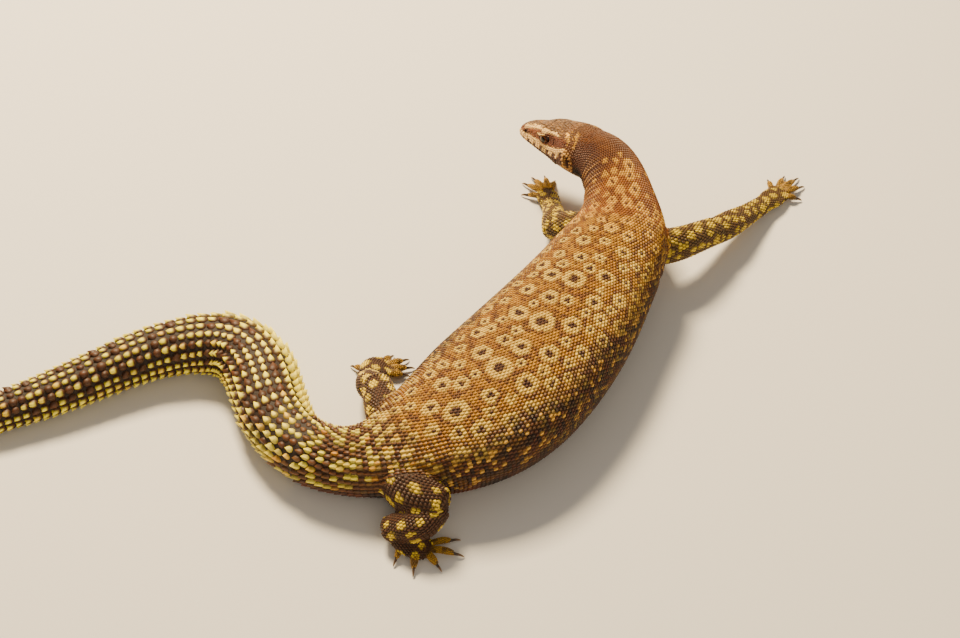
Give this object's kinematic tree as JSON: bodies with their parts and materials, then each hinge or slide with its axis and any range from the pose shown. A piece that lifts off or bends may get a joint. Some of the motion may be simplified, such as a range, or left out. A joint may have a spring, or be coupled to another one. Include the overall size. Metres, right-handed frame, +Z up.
{
  "type": "red ackie monitor",
  "caption": "Ridge-tailed monitor lizard lying belly down, head turned left, spiny tail curved on the floor; still life-size model.",
  "frame": {"origin": "floor point under the middle of the whole lizard", "axes": "+Y along the trunk towards the neck, +X to the animal's right, +Z up from the floor it lies on"},
  "size_m": [0.2668, 0.3396, 0.0393],
  "materials": {
    "head_hide": "small dry scales, satin",
    "eye_gloss": "wet dark eye",
    "neck_hide": "fine dry scales in folds, satin",
    "back_hide": "beaded dry scales, satin",
    "tail_hide": "keeled spiny scales, satin",
    "limb_hide": "small dry scales, satin"
  },
  "bodies": {
    "root": {"head": "head_hide", "eye_left": "eye_gloss", "eye_right": "eye_gloss", "neck": "neck_hide", "torso_front": "back_hide", "torso_middle": "back_hide", "torso_rear": "back_hide", "tail_1": "tail_hide", "tail_2": "tail_hide", "tail_3": "tail_hide", "tail_4": "tail_hide", "tail_5": "tail_hide", "tail_7": "tail_hide", "tail_6": "tail_hide", "upper_arm_left": "limb_hide", "forearm_left": "limb_hide", "hand_left": "limb_hide", "thigh_left": "limb_hide", "shank_left": "limb_hide", "foot_left": "limb_hide", "upper_arm_right": "limb_hide", "forearm_right": "limb_hide", "hand_right": "limb_hide", "thigh_right": "limb_hide", "shank_right": "limb_hide", "foot_right": "limb_hide"}
  },
  "joints": []
}
